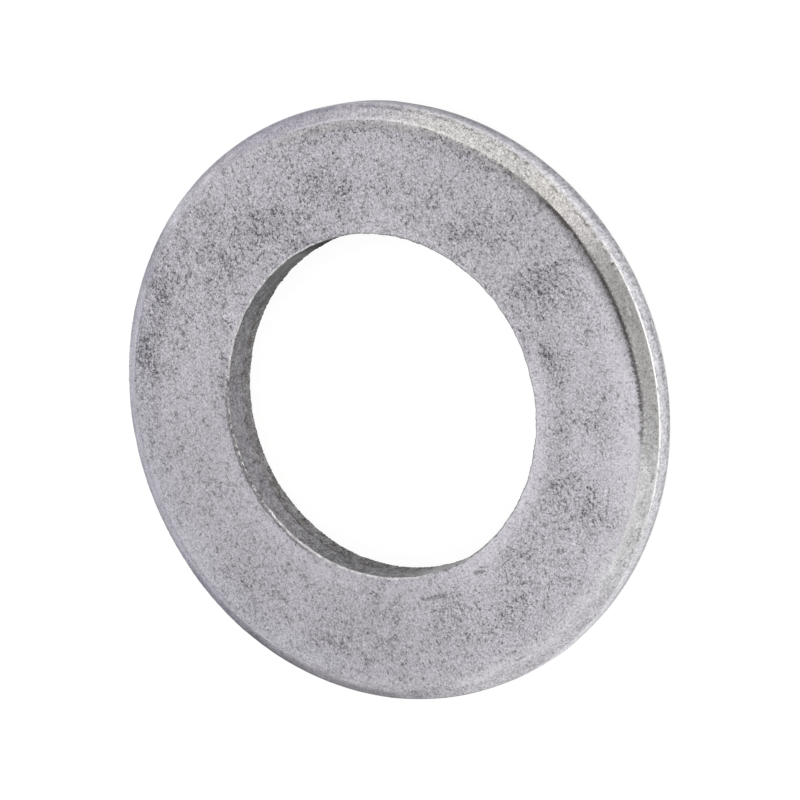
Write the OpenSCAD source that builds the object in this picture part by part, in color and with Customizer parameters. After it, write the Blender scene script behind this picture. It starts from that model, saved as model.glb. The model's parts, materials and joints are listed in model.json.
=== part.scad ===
// Flat washer with a chamfered outer edge on its front face, punched from plate as one piece.
// It lies on its back face: z = 0 is the back, the bore runs along Z, and the front face is up.

/* [Ring] */
// Diameter over the outer wall
outer_d = 36.8; // [32:0.1:60]
// Diameter of the bore
bore_d = 21.2; // [12:0.1:28]
// Distance between the two flat faces
thickness = 2.8; // [2.2:0.05:6]

/* [Chamfer at the front] */
// How far the chamfer reaches in from the outer wall
chamfer_w = 0.87; // [0.5:0.01:2]
// How far the chamfer reaches down from the front face
chamfer_h = 0.6; // [0.3:0.01:1.2]
// Radius of the blend from the front face into the chamfer
face_blend_r = 0.45; // [0.05:0.05:0.8]
// Radius of the edge between the chamfer and the outer wall
wall_edge_r = 0.12; // [0.02:0.01:0.5]

/* [Rolled edge at the back] */
// Radius that the punching left between the outer wall and the back face
back_roll_r = 0.95; // [0.2:0.05:1.3]

/* [Bore edges] */
// Radius of the bore's edge at the front face
bore_front_r = 0.15; // [0.05:0.05:0.8]
// Radius of the bore's edge at the back face
bore_back_r = 0.2; // [0.05:0.05:0.8]

/* [Hidden] */
$fn = 180;

outer_r = outer_d / 2;
bore_r = bore_d / 2;

// The section's corners, from the bore's back edge round to its front edge, each with its radius
CORNERS = [
    [[bore_r, 0], bore_back_r],
    [[outer_r, 0], back_roll_r],
    [[outer_r, thickness - chamfer_h], wall_edge_r],
    [[outer_r - chamfer_w, thickness], face_blend_r],
    [[bore_r, thickness], bore_front_r],
];

function unit(v) = v / norm(v);

// What rounding takes off the corner at p, between the straight sides that run to a and to b:
// a kite from the arc's centre that reaches out past the corner, less the arc's own circle.
module corner_waste(a, p, b, r) {
    to_a = unit(a - p);
    to_b = unit(b - p);
    half_angle = acos(to_a * to_b) / 2;
    centre = p + unit(to_a + to_b) * r / sin(half_angle);
    touch_a = p + to_a * r / tan(half_angle);
    touch_b = p + to_b * r / tan(half_angle);
    reach = 1.5;
    difference() {
        polygon([
            centre,
            centre + reach * (touch_a - centre),
            centre + 2 * reach * (p - centre),
            centre + reach * (touch_b - centre),
        ]);
        translate(centre) circle(r);
    }
}

// Half of the ring's cross-section, to the right of the axis
module section() {
    last = len(CORNERS) - 1;
    difference() {
        polygon([for (c = CORNERS) c[0]]);
        for (i = [0:last]) {
            before = CORNERS[i == 0 ? last : i - 1][0];
            after = CORNERS[i == last ? 0 : i + 1][0];
            corner_waste(before, CORNERS[i][0], after, CORNERS[i][1]);
        }
    }
}

// The ring, turned from its section in one piece
module washer() {
    color([0.71, 0.70, 0.72]) rotate_extrude() section();
}

washer();
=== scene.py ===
"""Chamfered flat washer, lying on its back face: its real surface, a pale floor, soft light and the camera.

Lengths are in millimetres until to_metres() turns them into Blender's units. Angles are in degrees, counted
round the bore's axis from +X. The camera stands on the -Y side: the ring's near side is at -90, its right at
0, its far side at 90 and its left at 180, though the camera's roll turns them in the picture.
A stretch of the ring is given by its middle, half width and soft end: what happens there is whole within
the half width of the middle, and fades out over the soft end. In a table, its strength comes last.
"""

import json
import math

import bpy
import numpy as np
from mathutils import Matrix, Vector

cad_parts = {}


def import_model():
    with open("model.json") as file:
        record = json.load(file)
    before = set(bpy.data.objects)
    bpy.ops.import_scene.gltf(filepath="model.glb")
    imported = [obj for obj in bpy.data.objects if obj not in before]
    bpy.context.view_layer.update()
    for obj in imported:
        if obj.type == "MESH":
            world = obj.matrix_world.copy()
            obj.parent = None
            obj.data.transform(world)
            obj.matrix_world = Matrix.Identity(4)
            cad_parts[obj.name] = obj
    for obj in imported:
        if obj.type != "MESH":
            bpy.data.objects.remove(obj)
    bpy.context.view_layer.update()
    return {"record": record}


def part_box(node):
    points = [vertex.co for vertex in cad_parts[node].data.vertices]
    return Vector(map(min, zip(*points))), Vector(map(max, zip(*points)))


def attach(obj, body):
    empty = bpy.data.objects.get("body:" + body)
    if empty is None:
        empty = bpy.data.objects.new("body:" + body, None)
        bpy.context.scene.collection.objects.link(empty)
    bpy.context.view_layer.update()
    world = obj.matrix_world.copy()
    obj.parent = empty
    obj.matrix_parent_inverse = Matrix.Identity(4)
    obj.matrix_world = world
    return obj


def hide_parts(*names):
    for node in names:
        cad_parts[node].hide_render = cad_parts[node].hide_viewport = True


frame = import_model()

# The ring's sizes: the outer radius, thickness and bore are the CAD model's own
TOP_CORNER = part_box("washer")[1]
OUTER_R = TOP_CORNER.x * 1000
THICKNESS = TOP_CORNER.z * 1000
BORE_R = next(m for m in frame["record"]["mounts"] if m["name"] == "bore")["dims"]["r_mm"]
LIP_H = 0.03             # how far the burr at the bore's front edge may stand above the face
FACE_Z = THICKNESS - LIP_H
CHAMFER_W = 0.87
CHAMFER_H = 0.60
SHOULDER_W = 0.42        # width over which the face rolls down to the chamfer
SHOULDER_TILT = 25.0     # slope of that roll where it meets the chamfer
SHOULDER_POWER = 2.2     # how late the slope grows
WALL_EDGE_R = 0.12
BACK_ROLL_R = 0.95
BORE_FRONT_R = 0.10
BORE_BACK_R = 0.15
BORE_OVERHANG = 0.05     # how far torn metal may stand into the bore
SEGMENTS = 1400          # mesh steps round the ring

# The camera, on the photo's line of sight
CAMERA_DISTANCE = 184.2
CAMERA_ELEVATION = 59.41
CAMERA_ROLL = -110.87
CAMERA_AIM = (-0.061, -0.058, 0.0)
LENS = 135.0
SENSOR = 36.0

# The floor: half its width, its own grey, and how brightly it shows to the camera and in reflections
FLOOR_R = 700.0
FLOOR_GREY = 0.2
FLOOR_GLOW = 0.885

# How far the crease between face and chamfer lies in from its plain place, and where it is ragged
CREASE_INWARD = [
    (-58, 34, 16, 0.06), (-51, 9, 8, 0.06), (-104, 12, 9, -0.025), (-6, 4, 6, 0.08),
]
CREASE_RAGGED = (-106, 12, 8)

# How far the edge between chamfer and wall stands above its plain place, and where it is torn
WALL_EDGE_RAISED = [
    (137, 14, 30, 0.15), (-92, 20, 15, 0.05), (40, 26, 14, -0.02),
]
WALL_EDGE_TORN = (-45, 28, 22)

# How far the outer wall bulges, and how far the roll at its back stands out past its arc
WALL_BULGES = [(-168, 4, 7, 0.06), (-14, 5, 7, 0.03)]
ROLL_FULLER = [(-17, 6, 6, 0.09)]

# Where the burr on the bore's front edge is highest, and how far that edge lies out from the axis
BURR_HIGH = (118, 38, 30)
BORE_FRONT_OUTWARD = [(-122, 48, 25, 0.045)]

# How far the bore's back edge stands in towards the axis
BORE_BACK_INWARD = [(164, 14, 12, 0.045), (132, 18, 14, 0.03)]


def to_metres(value):
    return value / 1000


def srgb(r, g, b):
    """A colour written as 0 to 255 on screen, as linear light."""
    def linear(c):
        c = c / 255
        return c / 12.92 if c <= 0.04045 else ((c + 0.055) / 1.055) ** 2.4
    return (linear(r), linear(g), linear(b), 1.0)


# Section

def corner_arc(a, p, b, radius, steps):
    """The rounding of the corner at p, between the straight sides to a and to b."""
    a, p, b = (np.array(q, float) for q in (a, p, b))
    to_a = (a - p) / np.linalg.norm(a - p)
    to_b = (b - p) / np.linalg.norm(b - p)
    half = math.acos(float(to_a @ to_b)) / 2
    middle = to_a + to_b
    centre = p + middle / np.linalg.norm(middle) * radius / math.sin(half)
    start = p + to_a * radius / math.tan(half) - centre
    end = p + to_b * radius / math.tan(half) - centre
    t0 = math.atan2(start[1], start[0])
    t1 = math.atan2(end[1], end[0])
    t1 = t0 + (t1 - t0 + math.pi) % (2 * math.pi) - math.pi
    return [(centre[0] + radius * math.cos(t), centre[1] + radius * math.sin(t))
            for t in np.linspace(t0, t1, steps + 1)]


def shoulder_fall(x):
    """How far the face has dropped at x, where x runs from 0 to 1 across the roll into the chamfer."""
    slope = math.tan(math.radians(SHOULDER_TILT))
    return slope * SHOULDER_W * x ** (SHOULDER_POWER + 1) / (SHOULDER_POWER + 1)


# The section's corners, as radius and height
BORE_BACK = (BORE_R, 0)
BACK_EDGE = (OUTER_R, 0)
WALL_EDGE = (OUTER_R, FACE_Z - CHAMFER_H)
CREASE = (OUTER_R - CHAMFER_W, FACE_Z - shoulder_fall(1.0))
FACE_END = (CREASE[0] - SHOULDER_W, FACE_Z)
BORE_FRONT = (BORE_R, FACE_Z)


def shoulder(steps):
    """From the chamfer's inner edge up and in to the flat of the face."""
    at = np.linspace(1, 0, steps + 1)
    return [(CREASE[0] - SHOULDER_W * (1 - x), FACE_Z - shoulder_fall(x)) for x in at]


def ring_section():
    """The closed section: its rings, as radius and height, and the surface that follows each of them."""
    # each rounding or roll, its surface, the steps of the straight side after it, and that side's surface
    runs = [
        (corner_arc(BORE_FRONT, BORE_BACK, BACK_EDGE, BORE_BACK_R, 3), "bore", 5, "back"),
        (corner_arc(BORE_BACK, BACK_EDGE, WALL_EDGE, BACK_ROLL_R, 8), "wall", 6, "wall"),
        (corner_arc(BACK_EDGE, WALL_EDGE, CREASE, WALL_EDGE_R, 4), "wall", 6, "chamfer"),
        (shoulder(9), "face", 12, "face"),
        (corner_arc(FACE_END, BORE_FRONT, BORE_BACK, BORE_FRONT_R, 4), "bore_lip", 13, "bore"),
    ]
    rings, surfaces = [], []
    for (points, surface, steps, side), following in zip(runs, runs[1:] + runs[:1]):
        rings += points
        surfaces += [surface] * (len(points) - 1)
        start = np.array(points[-1])
        gap = np.array(following[0][0]) - start
        rings += [tuple(start + gap * k / steps) for k in range(1, steps)]
        surfaces += [side] * steps
    return np.array(rings), surfaces


# Unevenness: repeatable noise round the ring

RNG = np.random.default_rng(20)
ANGLES = np.linspace(0, 2 * math.pi, SEGMENTS, endpoint=False)


def ripple(low, high, tilt=1.0):
    """Noise round the ring with between low and high waves a turn, of unit rms.

    A larger tilt favours long waves.
    """
    waves = np.arange(low, high + 1)
    phase = RNG.uniform(0, 2 * math.pi, len(waves))
    size = RNG.rayleigh(1, len(waves)) / waves ** (tilt / 2)
    out = (size[:, None] * np.cos(waves[:, None] * ANGLES + phase[:, None])).sum(0)
    return out / out.std()


def stretch(middle, half_width, soft):
    """1 within half_width degrees of the middle, falling smoothly to 0 over soft degrees more."""
    away = np.abs((np.degrees(ANGLES) - middle + 180) % 360 - 180)
    t = np.clip((half_width + soft - away) / soft, 0, 1)
    return t * t * (3 - 2 * t)


def stretches(table):
    """The sum of a table's stretches round the ring, each times its strength."""
    return sum(strength * stretch(*place) for *place, strength in table)


def near(rings, place, spread):
    """1 for a ring at the place in the section, falling off smoothly with its distance over spread."""
    away = ((rings - place) ** 2).sum(1, keepdims=True)
    return np.exp(-away / (2 * spread ** 2))


def rim_relief(rings, radial, vertical):
    """The edge between chamfer and wall wanders, most along its torn stretch, and the wall bulges."""
    torn = 0.006 + 0.020 * stretch(*WALL_EDGE_TORN)
    wander = 0.010 * ripple(6, 50) + torn * ripple(50, 330, 0.6)
    vertical += near(rings, WALL_EDGE, 0.12) * wander
    vertical += near(rings, WALL_EDGE, 0.3) * stretches(WALL_EDGE_RAISED)
    radial += near(rings, (OUTER_R - 0.1, 0.45), 0.3) * stretches(ROLL_FULLER)
    radial += near(rings, (OUTER_R, 1.2), 0.8) * stretches(WALL_BULGES)


def crease_relief(rings, radial):
    """The crease between face and chamfer lies further in at the near right, and is ragged left of it."""
    radial -= near(rings, CREASE, 0.2) * stretches(CREASE_INWARD)
    ragged = 0.006 + 0.018 * stretch(*CREASE_RAGGED)
    radial += near(rings, CREASE, 0.06) * (0.012 * ripple(4, 40) + ragged * ripple(150, 520, 0.2))


def burr_relief(rings, radial, vertical):
    """A broken burr stands along the bore's front edge, and the edge itself wanders."""
    burr = 0.25 + 0.75 * stretch(*BURR_HIGH)
    lip = LIP_H * burr * np.clip(0.65 + 0.3 * ripple(30, 300, 0.8), 0.1, 1.0)
    vertical += near(rings, (BORE_R + 0.05, FACE_Z), 0.05) * lip
    wander = 0.014 * ripple(12, 60) + 0.008 * ripple(60, 300)
    radial += near(rings, BORE_FRONT, 0.15) * (wander + stretches(BORE_FRONT_OUTWARD))


def fracture_relief(rings, radial):
    """The metal is torn towards the back of the bore, out to an uneven back edge."""
    r, z = rings[:, :1], rings[:, 1:]
    fracture = np.clip((1.25 - z) / 0.4, 0, 1) * (np.abs(r - BORE_R) < 0.3)
    rough = np.stack([ripple(25, 420, 0.4) for _ in rings])
    rough = (rough + np.roll(rough, 1, 0) + np.roll(rough, -1, 0)) / 1.7
    radial += fracture * 0.010 * rough
    radial -= near(rings, BORE_BACK, 0.35) * stretches(BORE_BACK_INWARD)
    radial += near(rings, BORE_BACK, 0.15) * (0.012 * ripple(8, 80) + 0.008 * ripple(80, 450, 0.5))


def relief(rings):
    """How far each vertex is moved from the plain section, as radial and vertical parts."""
    radial = np.zeros((len(rings), SEGMENTS))
    vertical = np.zeros((len(rings), SEGMENTS))
    rim_relief(rings, radial, vertical)
    crease_relief(rings, radial)
    burr_relief(rings, radial, vertical)
    fracture_relief(rings, radial)
    return radial, vertical


def ring_mesh():
    """The whole ring as one closed mesh, and the surface that follows each ring of its section."""
    rings, surfaces = ring_section()
    radial, vertical = relief(rings)
    r = np.clip(rings[:, :1] + radial, BORE_R - BORE_OVERHANG, OUTER_R + stretches(WALL_BULGES))
    z = np.clip(rings[:, 1:] + vertical, 0, THICKNESS)
    points = np.stack([r * np.cos(ANGLES), r * np.sin(ANGLES), z], -1).reshape(-1, 3)
    index = np.arange(len(points)).reshape(len(rings), SEGMENTS)
    next_ring = np.roll(index, -1, 0)
    quads = np.stack([index, np.roll(index, -1, 1), np.roll(next_ring, -1, 1), next_ring], -1)
    mesh = bpy.data.meshes.new("washer_surface")
    mesh.from_pydata(to_metres(points).tolist(), [], quads.reshape(-1, 4).tolist())
    mesh.update()
    return mesh, surfaces


# Material nodes

class Nodes:
    """The shader nodes of one tree, made and linked by short calls on numbers, colours and sockets."""

    def __init__(self, tree):
        self.tree = tree

    def new(self, kind):
        return self.tree.nodes.new("ShaderNode" + kind)

    def put(self, socket, value):
        """Links a value to the input socket, or sets it there."""
        if isinstance(value, bpy.types.NodeSocket):
            self.tree.links.new(value, socket)
        else:
            socket.default_value = value

    def vector(self, operation, a, b=None, scale=None):
        node = self.new("VectorMath")
        node.operation = operation
        for name, value in ((0, a), (1, b), ("Scale", scale)):
            if value is not None:
                self.put(node.inputs[name], value)
        is_number = operation in ("LENGTH", "DOT_PRODUCT", "DISTANCE")
        return node.outputs["Value" if is_number else "Vector"]

    def math(self, operation, a, b=0.0, clamp=False):
        node = self.new("Math")
        node.operation = operation
        node.use_clamp = clamp
        self.put(node.inputs[0], a)
        self.put(node.inputs[1], b)
        return node.outputs[0]

    def product(self, value, *others):
        """The value times each of the others."""
        for other in others:
            value = self.math("MULTIPLY", value, other)
        return value

    def total(self, base, *terms):
        """base plus the sum of each term's value times its weight."""
        for value, weight in terms:
            base = self.math("ADD", self.math("MULTIPLY", value, weight), base)
        return base

    def clamp(self, value):
        """The value, kept between 0 and 1."""
        return self.math("MAXIMUM", value, 0.0, clamp=True)

    def step(self, value, low, high):
        """0 at low, 1 at high, smooth between; low may be the larger."""
        node = self.new("MapRange")
        node.interpolation_type = "SMOOTHSTEP"
        for name, number in (("Value", value), ("From Min", low), ("From Max", high)):
            self.put(node.inputs[name], number)
        return node.outputs["Result"]

    def band(self, value, centre, full, end):
        """1 where value is within full of centre, falling to 0 at end from it."""
        return self.step(self.math("ABSOLUTE", self.math("SUBTRACT", value, centre)), end, full)

    def mix(self, factor, a, b, blend="MIX"):
        node = self.new("Mix")
        node.data_type = "RGBA"
        node.blend_type = blend
        self.put(node.inputs["Factor"], factor)
        self.put(node.inputs[6], a)
        self.put(node.inputs[7], b)
        return node.outputs[2]

    def lay(self, colour, over, *shares):
        """The colour covered by another, given as 0 to 255 on screen, by the shares' product."""
        return self.mix(self.product(*shares), colour, srgb(*over))

    def tint(self, colour, towards, *shares):
        """The colour multiplied by towards, by the shares' product."""
        return self.mix(self.product(*shares), colour, (*towards, 1.0), "MULTIPLY")


class Metal(Nodes):
    """A metal material whose colour and bump are worked out from the place on the ring."""

    def __init__(self, name):
        self.material = bpy.data.materials.new(name)
        self.material.use_nodes = True
        super().__init__(self.material.node_tree)
        self.principled = self.tree.nodes["Principled BSDF"]
        self.principled.inputs["Metallic"].default_value = 1.0
        self.place = self.vector("SCALE", self.new("TexCoord").outputs["Object"], scale=1000.0)
        self.flat = self.vector("MULTIPLY", self.place, (1, 1, 0))
        self.radius = self.vector("LENGTH", self.flat)
        self.outward = self.vector("NORMALIZE", self.flat)
        axes = self.new("SeparateXYZ")
        self.put(axes.inputs[0], self.place)
        self.height = axes.outputs[2]

    def noise_node(self, place, scale, detail, roughness, offset=0.0):
        node = self.new("TexNoise")
        if offset:
            place = self.vector("ADD", place, (offset, offset * 0.7, offset * 1.3))
        self.put(node.inputs["Vector"], place)
        for name, number in (("Scale", scale), ("Detail", detail), ("Roughness", roughness)):
            self.put(node.inputs[name], number)
        return node

    def noise_at(self, place, *settings):
        return self.math("SUBTRACT", self.noise_node(place, *settings).outputs["Fac"], 0.5)

    def noise(self, scale, detail=2.0, roughness=0.5, offset=0.0):
        """Noise about 0, with scale cells a millimetre. Another offset gives other noise of its kind."""
        return self.noise_at(self.place, scale, detail, roughness, offset)

    def streaks(self, scale, around, offset):
        """Noise drawn out along the rim: around is its scale that way, as a share of the scale across."""
        place = self.vector("MULTIPLY", self.place, (around, around, 1.0))
        return self.noise_at(place, scale, 3.0, 0.8, offset)

    def rays(self, across, offset):
        """Noise that changes only round the ring, with across cells a millimetre at the rim."""
        place = self.vector("SCALE", self.outward, scale=across * OUTER_R)
        return self.noise_at(place, 1.0, 2.0, 0.7, offset)

    def flecks(self, scale, share, soft, offset):
        """1 in the flecks where noise lies under share, 0 outside them."""
        depth = self.math("SUBTRACT", share, self.noise(scale, 3.0, 0.8, offset))
        return self.step(depth, 0.0, soft)

    def line(self, scale, width, offset):
        """1 along winding lines about 1 / scale apart, 0 between them."""
        away = self.math("ABSOLUTE", self.noise(scale, 2.0, 0.6, offset))
        return self.step(away, width, width * 0.2)

    def warped(self, scale, reach):
        """The place, shifted here and there by up to about half of reach."""
        noise = self.noise_node(self.place, scale, 2.0, 0.5).outputs["Color"]
        shift = self.vector("SUBTRACT", noise, (0.5, 0.5, 0.5))
        return self.vector("ADD", self.place, self.vector("SCALE", shift, scale=reach))

    def sector(self, middle, half_width, soft):
        """1 within half_width degrees of the middle round the ring, falling to 0 over soft degrees more."""
        a = math.radians(middle)
        facing = self.vector("DOT_PRODUCT", self.outward, (math.cos(a), math.sin(a), 0))
        full = math.cos(math.radians(half_width))
        end = math.cos(math.radians(half_width + soft))
        return self.step(facing, end, full)

    def sectors(self, base, *table):
        """base plus each stretch of the ring in the table, times its strength."""
        return self.total(base, *((self.sector(*place), strength) for *place, strength in table))

    def arcs(self, base, *table):
        """base plus each arc in the table, times its strength.

        An arc is given by the radii where it starts and is full, and its stretch of the ring.
        """
        for start, full, *place, strength in table:
            arc = self.product(self.step(self.radius, start, full), self.sector(*place))
            base = self.total(base, (arc, strength))
        return base

    def in_from_wall(self, start, full):
        """0 from start inwards and 1 from full outwards, both counted in from the outer wall."""
        return self.step(self.radius, OUTER_R - start, OUTER_R - full)

    def past_crease(self):
        """How far out from the crease between face and chamfer."""
        return self.sectors(self.math("SUBTRACT", self.radius, CREASE[0]), *CREASE_INWARD)

    def stroke(self, start, end, half_width):
        """1 along the straight stroke on the face from start to end, with uneven edges."""
        run = Vector((end[0] - start[0], end[1] - start[1], 0))
        from_start = self.vector("SUBTRACT", self.flat, (*start, 0))
        along = self.vector("DOT_PRODUCT", from_start, tuple(run))
        share = self.clamp(self.product(along, 1 / run.length_squared))
        nearest = self.vector("SCALE", tuple(run), scale=share)
        away = self.vector("LENGTH", self.vector("SUBTRACT", from_start, nearest))
        away = self.total(away, (self.noise(7.0, 1.0, 0.5), half_width * 3))
        return self.step(away, half_width * 1.4, half_width * 0.4)

    def patch(self, place, x, y, size):
        """1 at (x, y) on the face, falling to 0 at size from it."""
        away = self.vector("DISTANCE", place, (x, y, FACE_Z))
        return self.step(away, size, size * 0.1)

    def bump(self, height, distance, strength):
        node = self.new("Bump")
        node.inputs["Strength"].default_value = strength
        node.inputs["Distance"].default_value = to_metres(distance)
        self.put(node.inputs["Height"], height)
        self.put(self.principled.inputs["Normal"], node.outputs["Normal"])

    def finish(self, colour, roughness):
        self.put(self.principled.inputs["Base Color"], colour)
        self.put(self.principled.inputs["Roughness"], roughness)
        return self.material


# Where the speckle on the face is denser (above 0) or thinner (below 0): x, y, size and strength
FACE_PATCHES = [
    (8.5, 15.0, 3.4, 0.15), (12.0, 11.5, 3.4, 0.08), (12.6, 3.4, 3.2, 0.12), (13.6, -2.3, 2.4, 0.12),
    (12.4, 0.6, 2.4, 0.12), (12.0, 7.0, 3.2, 0.09), (-12.8, 6.2, 3.4, 0.08), (-7.3, 14.0, 4.0, 0.08),
    (1.5, 15.0, 2.8, 0.06), (7.3, -10.8, 2.6, 0.11), (3.0, -13.5, 2.8, 0.09), (-1.0, -12.6, 2.6, 0.09),
    (-12.8, -4.5, 3.0, 0.06), (-9.0, -10.0, 3.4, 0.06), (-14.0, 1.5, 3.0, 0.05), (-11.5, 9.5, 3.0, 0.06),
    (-4.6, -13.8, 3.0, 0.03), (-7.5, -14.8, 4.5, -0.09), (-14.2, -9.8, 4.0, -0.04),
    (-11.4, -2.5, 2.4, -0.08), (-3.0, -16.2, 3.5, -0.06), (-4.2, 16.6, 3.0, -0.08),
    (14.5, -7.5, 3.6, -0.05),
]

# The same along arcs: the radii where each starts and is full, its stretch of the ring, and the strength
FACE_ARCS = [
    (12.2, 11.0, -134, 34, 22, -0.10),
    (11.9, 10.9, 150, 14, 16, -0.04),
    (15.4, 16.6, -130, 36, 24, -0.06),
    (15.2, 16.2, 48, 14, 16, 0.06),
    (15.6, 16.8, -32, 18, 16, 0.05),
    (15.2, 16.4, -156, 6, 8, 0.05),
]

# Where the steel between the flecks is paler (above 0) or darker, as arcs of the same kind
FACE_TONES = [
    (12.2, 11.0, -128, 28, 12, 0.09),
    (12.2, 11.0, 112, 22, 24, 0.06),
    (12.2, 11.0, -36, 14, 14, 0.05),
    (11.45, 10.95, 105, 42, 16, -0.09),
    (11.2, 10.7, 38, 20, 12, 0.05),
    (12.0, 11.2, 12, 6, 8, -0.05),
    (12.0, 11.2, 117, 5, 7, 0.04),
    (15.0, 16.4, -100, 18, 20, 0.06),
    (12.4, 13.4, -118, 26, 24, 0.04),
]

# Small marks on the face: where each starts and ends, its half width, and its tone, dark below 0
FACE_MARKS = [
    ((-11.9, 1.9), (-12.1, 0.2), 0.12, -0.30),
    ((-11.4, -2.3), (-11.5, -2.8), 0.12, -0.42),
    ((-11.2, -2.8), (-11.3, -3.3), 0.06, -0.25),
    ((-13.1, -0.8), (-13.3, -1.0), 0.15, -0.25),
    ((-9.3, -12.8), (-10.9, -11.9), 0.06, -0.30),
    ((-9.2, -12.6), (-10.8, -11.8), 0.04, 0.14),
    ((-8.8, -11.5), (-9.2, -11.8), 0.08, -0.32),
    ((-9.2, -11.8), (-9.5, -11.7), 0.08, -0.32),
    ((-11.6, -9.3), (-11.7, -9.4), 0.09, 0.40),
    ((-12.7, -11.4), (-12.6, -11.8), 0.05, -0.30),
    ((8.6, 8.2), (8.2, 7.9), 0.07, -0.35),
    ((8.2, 7.9), (8.1, 7.6), 0.07, -0.35),
    ((8.6, 8.0), (8.5, 7.7), 0.36, 0.13),
    ((8.9, 6.4), (8.8, 6.0), 0.06, -0.35),
    ((9.8, 6.8), (9.5, 6.2), 0.06, -0.28),
    ((11.4, 2.9), (10.7, 2.4), 0.05, 0.26),
    ((11.3, 3.1), (10.9, 2.8), 0.06, -0.18),
    ((-17.2, -2.7), (-17.1, -3.5), 0.05, -0.36),
]

# How strongly the painted highlight along the crease shows all round, and how much more or less along some
# stretches
CREASE_HIGHLIGHT_BASE = 0.05
CREASE_HIGHLIGHT_STRETCHES = [(-150, 30, 12, 0.08), (-134, 6, 6, 0.06), (-78, 34, 8, -0.05), (-170, 6, 10, 0.05)]

# Where the chamfer is paler (above 0) or darker round the ring: uneven steel, and painted light and shade
CHAMFER_TONES_AND_LIGHT = [
    (-140, 8, 12, 0.03), (-84, 12, 8, 0.06), (-100, 5, 5, 0.06), (-68, 6, 6, 0.07), (-113, 3, 3, -0.08),
    (-28, 10, 8, 0.04), (-4, 12, 8, 0.04), (24, 4, 5, 0.07), (40, 3, 5, -0.14), (144, 11, 8, 0.09),
    (164, 6, 8, -0.11),
]

# One small bright nick on the chamfer, as a mark on the face is given
CHAMFER_NICK = ((0.14, -17.94), (-0.24, -17.97), 0.06, 0.5)

# Where the chamfer is battered, and where its outermost strip has painted shade
CHAMFER_BATTERED = [(-48, 26, 8, 1.0), (-128, 7, 5, 1.0)]
RIM_SHADE_STRETCHES = [(94, 14, 16, 0.42), (-2, 22, 12, 0.40), (46, 8, 7, 0.36)]

# Where the worn edge of the wall and its painted highlight fade
EDGE_WEAR_AND_HIGHLIGHT_FADED = [(-26, 58, 14, -0.60), (4, 22, 10, -0.3), (-164, 28, 12, -0.8), (-62, 9, 10, -0.22)]

# Colours that come back, as 0 to 255 on screen
# the painted highlight along the crease
HIGHLIGHT_WHITE = (254, 252, 254)
# the painted shade in the crease
CREASE_SHADE = (70, 66, 65)
SHADE = (92, 87, 84)
# painted shade along the outer edge
RIM_SHADE = (104, 102, 118)

# The noise that frays the painted shade on both sides of the crease
FRAY = (6.5, 2.0, 0.9, 15)


def marks(s, base, *table):
    """base plus each mark in the table, times its strength."""
    return s.total(base, *((s.stroke(*mark), strength) for *mark, strength in table))


# Face

def face_cloud(s):
    """How dense the speckle is at each place on the face, about 0 on average."""
    place = s.warped(0.5, 3.0)
    cloud = s.total(-0.02, (s.noise(0.45, 2.0, 0.6, 11), 0.24), (s.noise(1.3, 2.0, 0.7, 17), 0.32))
    cloud = s.total(cloud, *((s.patch(place, *patch), strength) for *patch, strength in FACE_PATCHES))
    return s.arcs(cloud, *FACE_ARCS)


def face_tone(s):
    """How much paler the steel between the flecks is at each place on the face."""
    return marks(s, s.arcs(0.0, *FACE_TONES), *FACE_MARKS)


def speckle(s, cloud, tone):
    """Pale steel with dark flecks in it, as a value about 0.5; the denser the cloud, the more flecks."""
    coarse = s.flecks(3.4, s.total(-0.038, (cloud, 0.34)), 0.06, 3)
    small = s.flecks(7.0, s.total(-0.022, (cloud, 0.31)), 0.06, 7)
    worms = s.product(s.line(3.0, 0.02, 21), s.total(0.14, (cloud, 0.7)))
    medium = s.product(s.noise(4.5, 2.0, 0.7, 29), s.total(0.72, (cloud, 1.6)))
    fine = s.product(s.noise(8.0, 1.0, 0.9), s.total(1.13, (cloud, 1.0), (s.sector(100, 60, 30), -0.10)))
    grain = s.total(0.0, (coarse, -0.30), (small, -0.22), (worms, -0.62), (medium, 1.0), (fine, 1.0))
    # the far left is worn smoother
    smooth = s.sector(122, 36, 30)
    grain = s.product(grain, s.total(1.0, (smooth, -0.26)))
    return s.clamp(s.total(0.658, (grain, 1.0), (smooth, -0.050), (cloud, -0.48), (tone, 1.0)))


def crease_highlight(s, past):
    """How much painted highlight lies along the crease: a soft band on both sides, and a narrow ridge at the
    right.
    """
    uneven = s.total(past, (s.noise(1.2, 3.0, 0.7, 33), 0.6))
    strength = s.sectors(CREASE_HIGHLIGHT_BASE, *CREASE_HIGHLIGHT_STRETCHES)
    band = s.product(s.step(uneven, -0.80, -0.25), s.step(uneven, 0.36, 0.02), strength)
    ridge = s.band(s.total(past, (s.noise(3.0, 2.0, 0.6, 35), 0.15)), 0.05, 0.03, 0.11)
    return s.total(band, (s.product(ridge, s.sector(-25, 18, 6)), 0.24))


def crease_shade(s, colour, past):
    """Painted shade in the crease on the near side: a thin ragged dark line, and a wider soft shade by it.
    """
    hairs = s.product(s.rays(3.2, 61), s.sectors(0.25, (-108, 8, 8, 0.75), (-68, 9, 8, 0.45)))
    ragged = s.total(past, (s.noise(*FRAY), 0.55), (hairs, 0.9), (s.sector(-108, 7, 5), -0.025))
    colour = s.lay(colour, CREASE_SHADE, s.step(ragged, -0.26, -0.08), s.sector(-89, 21, 9), 0.73)
    colour = s.lay(colour, SHADE, s.step(past, -0.80, -0.10), s.sector(-78, 11, 18), 0.48)
    # a faint band of painted shade just inside the crease
    dip = s.sectors(0.0, (-26, 22, 8, 0.12), (-79, 4, 5, 0.18))
    return s.lay(colour, SHADE, s.band(past, -0.42, 0.10, 0.28), dip)


def burr_groove_shade(s):
    """1 in the painted shade of the groove behind the burr on the bore's edge."""
    beads = s.total(s.radius, (s.noise(3.0, 2.0, 0.7, 23), 0.35))
    return s.product(s.step(beads, BORE_R + 0.32, BORE_R + 0.18), s.sector(100, 24, 13))


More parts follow.
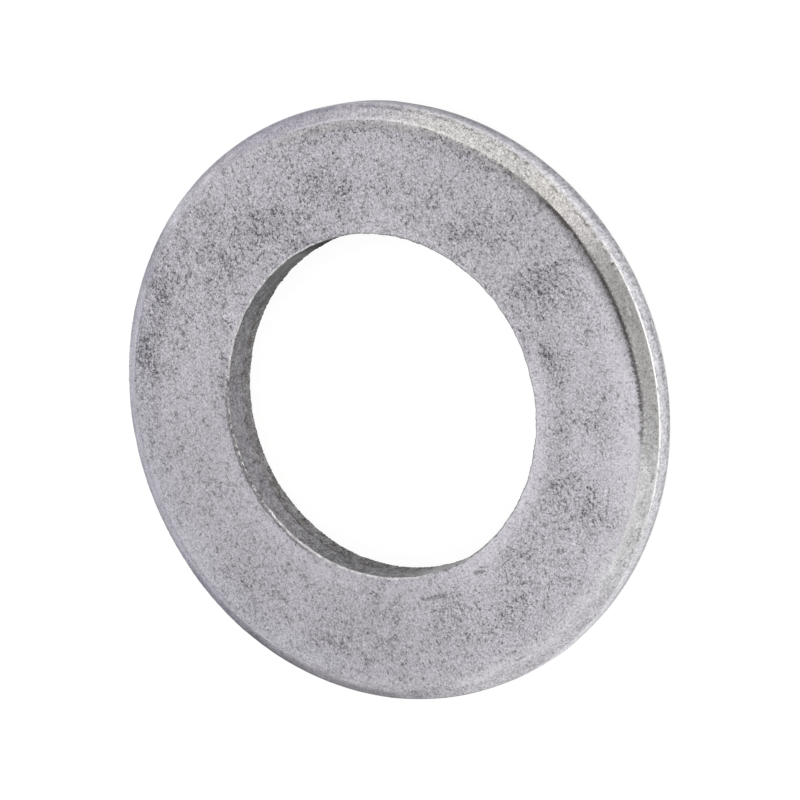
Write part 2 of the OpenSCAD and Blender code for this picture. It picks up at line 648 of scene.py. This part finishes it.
def face_steel():
    s = Metal("tumbled_face")
    past = s.past_crease()
    colour = s.mix(speckle(s, face_cloud(s), face_tone(s)), srgb(80, 79, 82), srgb(228, 226, 233))
    # a bluish cast on the far side by the rim
    colour = s.tint(colour, (0.988, 0.988, 1.008), s.step(s.radius, 15.4, 17.2), s.sector(96, 34, 34))
    # painted highlight along the crease
    colour = s.lay(colour, HIGHLIGHT_WHITE, crease_highlight(s, past))
    # painted shade in the crease on the near side
    colour = crease_shade(s, colour, past)
    # painted yellowish shade along the crease at the right
    colour = s.tint(colour, (0.90, 0.90, 0.82), s.step(past, -0.75, -0.25), s.sector(-30, 22, 14), 0.45)
    # painted shade in the groove behind the burr
    colour = s.lay(colour, (70, 68, 68), burr_groove_shade(s), 0.55)
    s.bump(s.noise(5.0, 2.0, 0.8), distance=0.010, strength=0.5)
    return s.finish(colour, roughness=0.38)


# Chamfer

def chamfer_grain(s):
    """The chamfer's steel before dirt and wear, as a value about 0.5."""
    pressed = s.sector(-50, 25, 12)
    calm = s.sector(-108, 26, 10)
    contrast = s.total(1.40, (pressed, 0.30), (calm, -0.25), (s.sector(84, 22, 14), 0.70))
    fine = s.product(s.noise(8.0, 2.0, 0.9, 5), contrast)
    blots = s.product(s.noise(2.6, 3.0, 0.8, 8), s.total(0.50, (pressed, 0.60), (calm, -0.20)))
    streaks = s.product(s.streaks(3.0, 0.22, 19), s.total(0.7, (pressed, -0.6)))
    # uneven steel and painted light and shade round the ring, with a nick
    tone = marks(s, s.sectors(0.0, *CHAMFER_TONES_AND_LIGHT), CHAMFER_NICK)
    value = s.total(0.54, (fine, 1.0), (blots, 1.0), (streaks, 1.0), (tone, 1.0))
    return s.clamp(s.total(value, (s.flecks(6.0, -0.05, 0.05, 43), -0.22)))


def battering(s, colour):
    """Broken cracks near the wall where the chamfer is battered, and paler steel past them."""
    battered = s.sectors(0.0, *CHAMFER_BATTERED)
    to_wall = s.total(s.math("SUBTRACT", s.radius, OUTER_R), (s.noise(2.2, 3.0, 0.8, 51), 0.6))
    colour = s.lay(colour, (110, 107, 106), s.band(to_wall, -0.20, 0.05, 0.16), battered, 0.06)
    crack = s.product(s.band(to_wall, -0.20, 0.02, 0.07), s.step(s.noise(1.1, 2.0, 0.6, 57), -0.04, 0.03))
    colour = s.lay(colour, (100, 97, 96), crack, battered, 0.62)
    return s.lay(colour, (232, 231, 238), s.step(to_wall, -0.14, -0.05), battered, 0.35)


def far_side_shade(s, colour):
    """Painted shade on the far side, darker and bluer, most of all by its outer edge, which is darker at the
    right too.
    """
    colour = s.lay(colour, (110, 107, 122), s.sector(86, 16, 18), 0.33)
    colour = s.tint(colour, (0.985, 0.985, 1.03), s.sector(80, 30, 40))
    to_rim = s.total(s.radius, (s.sector(147, 6, 8), 0.06))
    rim = s.total(0.0, (s.step(to_rim, OUTER_R - 0.60, OUTER_R - 0.24), 0.64), (s.sector(130, 5, 8), 0.06))
    colour = s.lay(colour, (86, 84, 90), rim, s.sector(140, 10, 20))
    colour = s.lay(colour, RIM_SHADE, s.in_from_wall(0.62, 0.34), s.sector(48, 4, 6), 0.26)
    return s.lay(colour, RIM_SHADE, s.in_from_wall(0.44, 0.10), s.sectors(0.0, *RIM_SHADE_STRETCHES))


def chamfer_steel():
    s = Metal("pressed_chamfer")
    past = s.past_crease()
    colour = s.mix(chamfer_grain(s), srgb(108, 107, 110), srgb(236, 234, 239))
    # painted highlight along the crease
    colour = s.lay(colour, HIGHLIGHT_WHITE, crease_highlight(s, past))
    # painted shade at the foot of the chamfer on the near side, with a frayed edge
    foot = s.step(s.total(past, (s.noise(*FRAY), 0.5), (s.rays(3.2, 63), 0.2)), 0.10, -0.03)
    colour = s.lay(colour, CREASE_SHADE, foot, s.sector(-86, 21, 6), 0.55)
    colour = battering(s, colour)
    # painted reflection tints: a warm one on the near side, and a cooler one to its left
    colour = s.tint(colour, (1.015, 0.995, 0.985), s.sector(-82, 14, 12))
    colour = s.tint(colour, (0.985, 1.0, 0.99), s.sector(-130, 12, 10))
    # painted shade on the far side and by the outer edge
    colour = far_side_shade(s, colour)
    s.bump(s.noise(6.0, 2.0, 0.8, 5), distance=0.006, strength=0.4)
    return s.finish(colour, roughness=0.26)


# Wall

def wall_grain(s):
    """The wall's steel, mottled and drawn by the shearing, as a value about 0.5."""
    mottled = s.product(s.noise(4.2, 3.0, 0.8, 6), s.sectors(1.0, (-66, 36, 16, 1.4)))
    value = s.total(0.56, (s.streaks(3.0, 2.2, 9), 2.4), (s.streaks(2.6, 0.30, 27), 1.4), (mottled, 1.0))
    value = s.total(value, (s.flecks(5.0, -0.05, 0.05, 37), -0.34))
    # fine shear marks down the wall at the near right
    shear = s.product(s.rays(5.0, 73), s.sector(-71, 8, 6))
    return s.clamp(s.total(value, (shear, 1.1)))


def edge_wear_and_highlight(s):
    """The edge under the chamfer, worn and with a painted highlight: brightest at the near left, widest at
    the near right.
    """
    ragged = s.total(s.height, (s.noise(3.2, 3.0, 0.7, 4), 0.7))
    foot = s.sectors(WALL_EDGE[1] - 0.04, (-64, 14, 16, -0.16))
    worn = s.step(s.math("SUBTRACT", ragged, foot), -0.05, 0.05)
    faded = s.sectors(1.0, *EDGE_WEAR_AND_HIGHLIGHT_FADED)
    patchy = s.product(s.noise(2.6, 3.0, 0.8, 71), s.sector(-70, 22, 10))
    return s.clamp(s.product(worn, faded, s.total(1.0, (patchy, 3.0))))


def wall_steel():
    s = Metal("sheared_wall")
    value = wall_grain(s)
    # painted shade: a darker copy of the steel lower down, where the wall rounds away to the back
    upper = s.mix(value, srgb(160, 158, 165), srgb(240, 239, 244))
    lower = s.mix(value, srgb(118, 117, 122), srgb(208, 207, 212))
    drawn = s.total(s.height, (s.noise(0.8, 3.0, 0.7, 1), 1.2), (s.sector(-122, 10, 8), 0.20))
    colour = s.mix(s.step(drawn, 1.62, 1.18), upper, lower)
    # painted shade, darker to the right, first in its lower part and then all over
    colour = s.tint(colour, (0.74, 0.73, 0.76), s.sector(-46, 22, 16), s.step(s.height, 2.1, 1.4))
    colour = s.tint(colour, (0.56, 0.55, 0.60), s.sector(-8, 30, 20))
    colour = s.tint(colour, (0.89, 0.89, 0.90), s.sector(-22, 6, 8))
    # wear and a painted highlight along the edge under the chamfer
    colour = s.lay(colour, (252, 251, 249), edge_wear_and_highlight(s))
    # painted shade at the far left, where the rim is seen edge on
    colour = s.lay(colour, (86, 84, 88), s.sector(138, 26, 34), 0.85)
    s.bump(s.noise(5.0, 2.0, 0.7, 9), distance=0.008, strength=0.5)
    return s.finish(colour, roughness=0.36)


# Bore

def bore_grain(s):
    """The bore's steel, as a value about 0.1 in its darker part and 0.6 where light reaches it."""
    value = s.total(0.12, (s.noise(7.0, 2.0, 0.9, 7), 2.2), (s.noise(1.8, 3.0, 0.8, 2), 1.8))
    return s.clamp(s.sectors(value, (88, 12, 50, 0.48), (184, 8, 10, 0.35), (158, 12, 10, 0.10)))


def bore_steel():
    s = Metal("punched_bore")
    value = bore_grain(s)
    ragged = s.total(s.height, (s.noise(1.0, 3.0, 0.6, 4), 0.9))
    torn = s.step(ragged, 1.20, 0.95)
    smooth = s.mix(value, srgb(68, 66, 70), srgb(166, 164, 169))
    rough = s.mix(value, srgb(50, 48, 49), srgb(162, 160, 161))
    colour = s.mix(torn, smooth, rough)
    # a dark line where the smooth sheared part ends, and brownish stains below it
    seam = s.product(s.band(ragged, 1.1, 0.02, 0.12), s.sectors(0.12, (128, 20, 14, 0.40)))
    colour = s.lay(colour, (46, 44, 45), seam)
    stain = s.product(torn, s.step(s.noise(1.1, 2.0, 0.6, 31), 0.03, 0.10))
    colour = s.lay(colour, (70, 60, 54), stain, s.sectors(0.15, (60, 18, 12, 0.35), (107, 8, 6, 0.40)))
    # painted shade at its right end
    colour = s.tint(colour, (0.40, 0.40, 0.42), s.sector(2, 14, 16))
    # painted shade on the reflections, where the torn metal is seen nearly edge on
    edge_on_shade = s.tint((1.0, 1.0, 1.0, 1.0), (0.34, 0.34, 0.35), s.sector(-4, 5, 12))
    edge_on_shade = s.tint(edge_on_shade, (0.95, 0.95, 0.95), s.sector(161, 8, 12))
    s.put(s.principled.inputs["Specular Tint"], edge_on_shade)
    s.bump(s.noise(4.0, 3.0, 0.7, 7), distance=0.02, strength=0.6)
    return s.finish(colour, roughness=0.45)


def lip_steel():
    s = Metal("bore_lip")
    # painted highlight: the lip is paler along two stretches of the ring
    bright = s.sectors(0.24, (142, 26, 14, 0.35), (30, 24, 12, 0.32))
    beads = s.product(s.noise(3.4, 3.0, 0.8, 13), s.sectors(2.0, (88, 20, 12, 1.2)))
    value = s.clamp(s.total(bright, (beads, 1.0)))
    colour = s.mix(value, srgb(108, 107, 109), srgb(250, 249, 250))
    return s.finish(colour, roughness=0.30)


MATERIALS = {
    "face": face_steel,
    "chamfer": chamfer_steel,
    "wall": wall_steel,
    "back": face_steel,
    "bore": bore_steel,
    "bore_lip": lip_steel,
}


def washer():
    mesh, surfaces = ring_mesh()
    names = list(MATERIALS)
    for name in names:
        mesh.materials.append(MATERIALS[name]())
    index = np.repeat([names.index(s) for s in surfaces], SEGMENTS)
    mesh.polygons.foreach_set("material_index", index)
    mesh.polygons.foreach_set("use_smooth", np.ones(len(index), bool))
    piece = bpy.data.objects.new("washer_ring", mesh)
    bpy.context.scene.collection.objects.link(piece)
    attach(piece, "root")
    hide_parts("washer")
    return piece


# Stage

def seen_directly(nodes):
    """1 for camera, glossy and transmission rays, and 0 for those that only carry light."""
    path = nodes.new("LightPath").outputs
    seen = nodes.math("MAXIMUM", path["Is Camera Ray"], path["Is Glossy Ray"])
    return nodes.math("MAXIMUM", seen, path["Is Transmission Ray"])


def floor_material():
    material = bpy.data.materials.new("pale_floor")
    material.use_nodes = True
    nodes = Nodes(material.node_tree)
    inputs = material.node_tree.nodes["Principled BSDF"].inputs
    inputs["Base Color"].default_value = (FLOOR_GREY, FLOOR_GREY, FLOOR_GREY, 1)
    inputs["Roughness"].default_value = 1.0
    inputs["Specular IOR Level"].default_value = 0.0
    inputs["Emission Color"].default_value = (1, 1, 1, 1)
    nodes.put(inputs["Emission Strength"], nodes.product(seen_directly(nodes), FLOOR_GLOW))
    return material


def floor():
    """A pale floor that shows white where no shadow falls on it."""
    mesh = bpy.data.meshes.new("floor")
    r = to_metres(FLOOR_R)
    mesh.from_pydata([(-r, -r, 0), (r, -r, 0), (r, r, 0), (-r, r, 0)], [], [(0, 1, 2, 3)])
    mesh.materials.append(floor_material())
    obj = bpy.data.objects.new("floor", mesh)
    bpy.context.scene.collection.objects.link(obj)


# The studio round the washer: its even tone, and the patches over it, each with the direction it lies in,
# the angles from that direction where it is full and where it ends, and its light
STUDIO_TONE = (1.0, 0.99, 1.0)
STUDIO_PATCHES = [
    ((0.74, 0.52, 0.40), 12, 26, (0.80, 0.78, 0.85)),
    ((0.08, 1.0, 0.05), 16, 36, (0.76, 0.74, 0.81)),
    ((-0.36, 0.92, 0.05), 10, 24, (0.56, 0.55, 0.58)),
    ((0.62, -0.23, 0.75), 16, 26, (1.20, 1.19, 1.10)),
    ((-0.50, -0.30, 0.80), 14, 30, (1.16, 1.15, 1.11)),
    ((-0.10, -0.47, 0.88), 17, 22, (0.62, 0.63, 0.58)),
    ((0.04, -0.06, 1.0), 10, 22, (0.10, 0.10, 0.10)),
    ((0.0, -0.98, 0.17), 8, 20, (2.4, 2.35, 2.25)),
]


def world():
    """A pale studio: one even tone, with brighter and darker patches laid over it by direction."""
    studio = bpy.data.worlds.new("studio")
    bpy.context.scene.world = studio
    studio.use_nodes = True
    nodes = Nodes(studio.node_tree)
    direction = nodes.new("TexCoord").outputs["Generated"]
    light = (*STUDIO_TONE, 1)
    for towards, full, end, colour in STUDIO_PATCHES:
        facing = nodes.vector("DOT_PRODUCT", direction, Vector(towards).normalized())
        share = nodes.step(facing, math.cos(math.radians(end)), math.cos(math.radians(full)))
        light = nodes.mix(share, light, (*colour, 1))
    nodes.put(studio.node_tree.nodes["Background"].inputs["Color"], light)


def camera():
    """Looks down on the ring from the -Y side, rolled as the photo shows it."""
    elevation, roll = math.radians(CAMERA_ELEVATION), math.radians(CAMERA_ROLL)
    back = Vector((0, -math.cos(elevation), math.sin(elevation)))
    level = Vector((1, 0, 0))
    upward = back.cross(level)
    right = level * math.cos(roll) + upward * math.sin(roll)
    up = back.cross(right)
    data = bpy.data.cameras.new("camera")
    data.lens = LENS
    data.sensor_width = SENSOR
    data.clip_start = 0.01
    obj = bpy.data.objects.new("camera", data)
    obj.matrix_world = Matrix((right, up, back)).transposed().to_4x4()
    obj.matrix_world.translation = to_metres(Vector(CAMERA_AIM) + back * CAMERA_DISTANCE)
    bpy.context.scene.collection.objects.link(obj)
    bpy.context.scene.camera = obj


camera()
world()
floor()
washer()
bpy.context.scene.view_settings.view_transform = "Standard"
